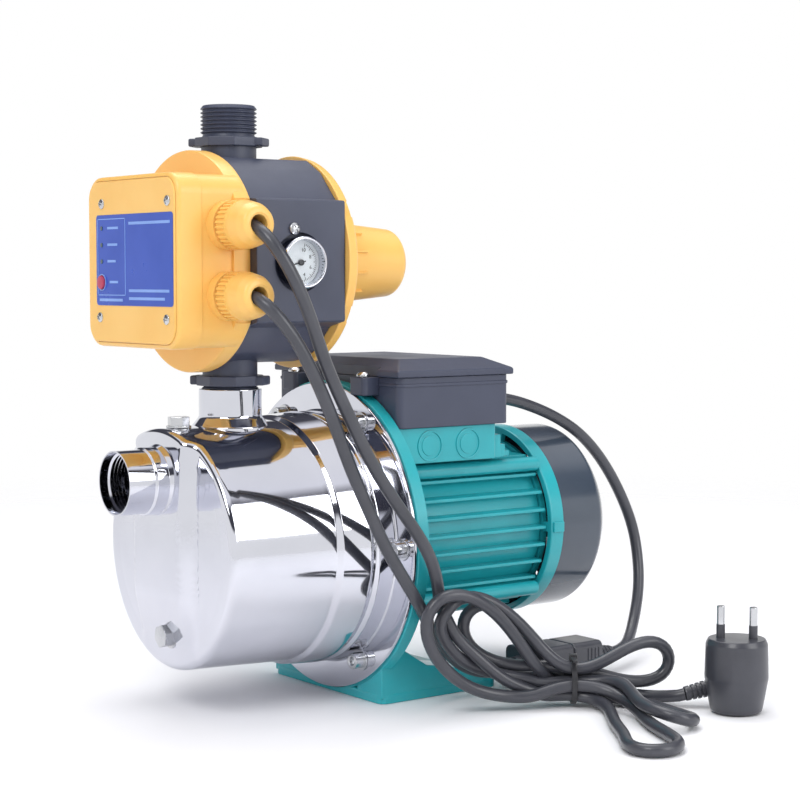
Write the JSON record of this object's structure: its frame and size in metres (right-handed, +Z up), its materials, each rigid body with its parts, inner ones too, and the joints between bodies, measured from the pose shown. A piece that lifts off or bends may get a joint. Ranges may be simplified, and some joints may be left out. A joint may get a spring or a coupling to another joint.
{
  "type": "shallow well jet pump",
  "caption": "Self-priming jet pump: stainless drum casing, finned motor on a foot, and a pressure controller with gauge, glands and cords standing on the outlet.",
  "frame": {"origin": "centre of the foot's flat base, where the pump stands on the floor", "axes": "+Z up along the outlet's vertical axis, +Y along the motor shaft from the suction port to the fan cover, +X towards the gauge and the cord glands"},
  "size_m": [0.3495, 0.3846, 0.357],
  "materials": {
    "stainless": "mirror-polished stainless sheet",
    "zinc_steel": "bright zinc-plated steel",
    "teal_paint": "semi-gloss teal enamel on cast and extruded metal",
    "black_enamel": "gloss black enamel on sheet steel",
    "slate_plastic": "fine-grained slate plastic",
    "yellow_plastic": "satin yellow plastic",
    "red_plastic": "satin red plastic",
    "white_plastic": "natural white plastic",
    "black_rubber": "moulded rubber",
    "copper": "lacquered copper wire",
    "lamination": "stacked steel sheet",
    "brass": "machined brass",
    "grey_resin": "glass-filled resin",
    "board": "green circuit board",
    "needle_black": "black-painted pointer",
    "gauge_glass": "clear flat glass",
    "cord_rubber": "satin dark rubber",
    "tie_nylon": "black nylon strap"
  },
  "bodies": {
    "root": {"body_screw": "zinc_steel", "box_gland": "slate_plastic", "casing_gasket": "black_rubber", "circuit_board": "board", "control_box": "yellow_plastic", "cord_hank": "cord_rubber", "coupling_cord": "cord_rubber", "coupling_socket": "cord_rubber", "diaphragm": "black_rubber", "diffuser": "grey_resin", "drain_plug": "zinc_steel", "end_shield": "teal_paint", "fan_cover": "black_enamel", "flange_bolt_1": "zinc_steel", "flange_bolt_2": "zinc_steel", "flange_bolt_3": "zinc_steel", "flange_bolt_4": "zinc_steel", "flange_bolt_5": "zinc_steel", "flange_bolt_6": "zinc_steel", "flow_body": "slate_plastic", "front_bearing": "zinc_steel", "front_plate": "yellow_plastic", "gauge_case": "stainless", "gauge_glass": "gauge_glass", "hank_tie": "tie_nylon", "jet_nozzle": "brass", "lid_screw_left": "zinc_steel", "lid_screw_right": "zinc_steel", "lower_gland_nut": "yellow_plastic", "lower_nut": "slate_plastic", "mains_cord": "cord_rubber", "mains_plug": "cord_rubber", "motor_bracket": "teal_paint", "motor_cord": "cord_rubber", "motor_housing": "teal_paint", "motor_plug": "cord_rubber", "plug_cord": "cord_rubber", "pressure_spring": "zinc_steel", "priming_plug": "zinc_steel", "pump_casing": "stainless", "rear_bearing": "zinc_steel", "rear_cover": "yellow_plastic", "run_capacitor": "white_plastic", "seal_plate": "zinc_steel", "stator_core": "lamination", "stator_winding": "copper", "terminal_block": "white_plastic", "terminal_box": "slate_plastic", "terminal_lid": "slate_plastic", "upper_gland_nut": "yellow_plastic", "upper_nut": "slate_plastic", "venturi_tube": "grey_resin"},
    "rotor": {"motor_shaft": "zinc_steel", "rotor_core": "lamination", "cooling_fan": "slate_plastic", "impeller": "brass", "shaft_seal": "black_rubber"},
    "button": {"reset_button": "red_plastic"},
    "needle": {"gauge_needle": "needle_black"},
    "valve": {"flow_valve": "white_plastic"}
  },
  "joints": [
    {"name": "rotor_spin", "type": "hinge", "parent": "root", "child": "rotor", "pos_m": [0, 0, 0.097], "axis": [0, 1, 0], "continuous": true},
    {"name": "button_press", "type": "slide", "parent": "root", "child": "button", "axis": [0, 1, 0], "range_m": [0, 0.002]},
    {"name": "needle_swing", "type": "hinge", "parent": "root", "child": "needle", "pos_m": [0.0609, -0.1037, 0.2644], "axis": [-1, 0, 0], "range_deg": [0, 240]},
    {"name": "valve_lift", "type": "slide", "parent": "root", "child": "valve", "axis": [0, 0, 1], "range_m": [0, 0.008]}
  ]
}
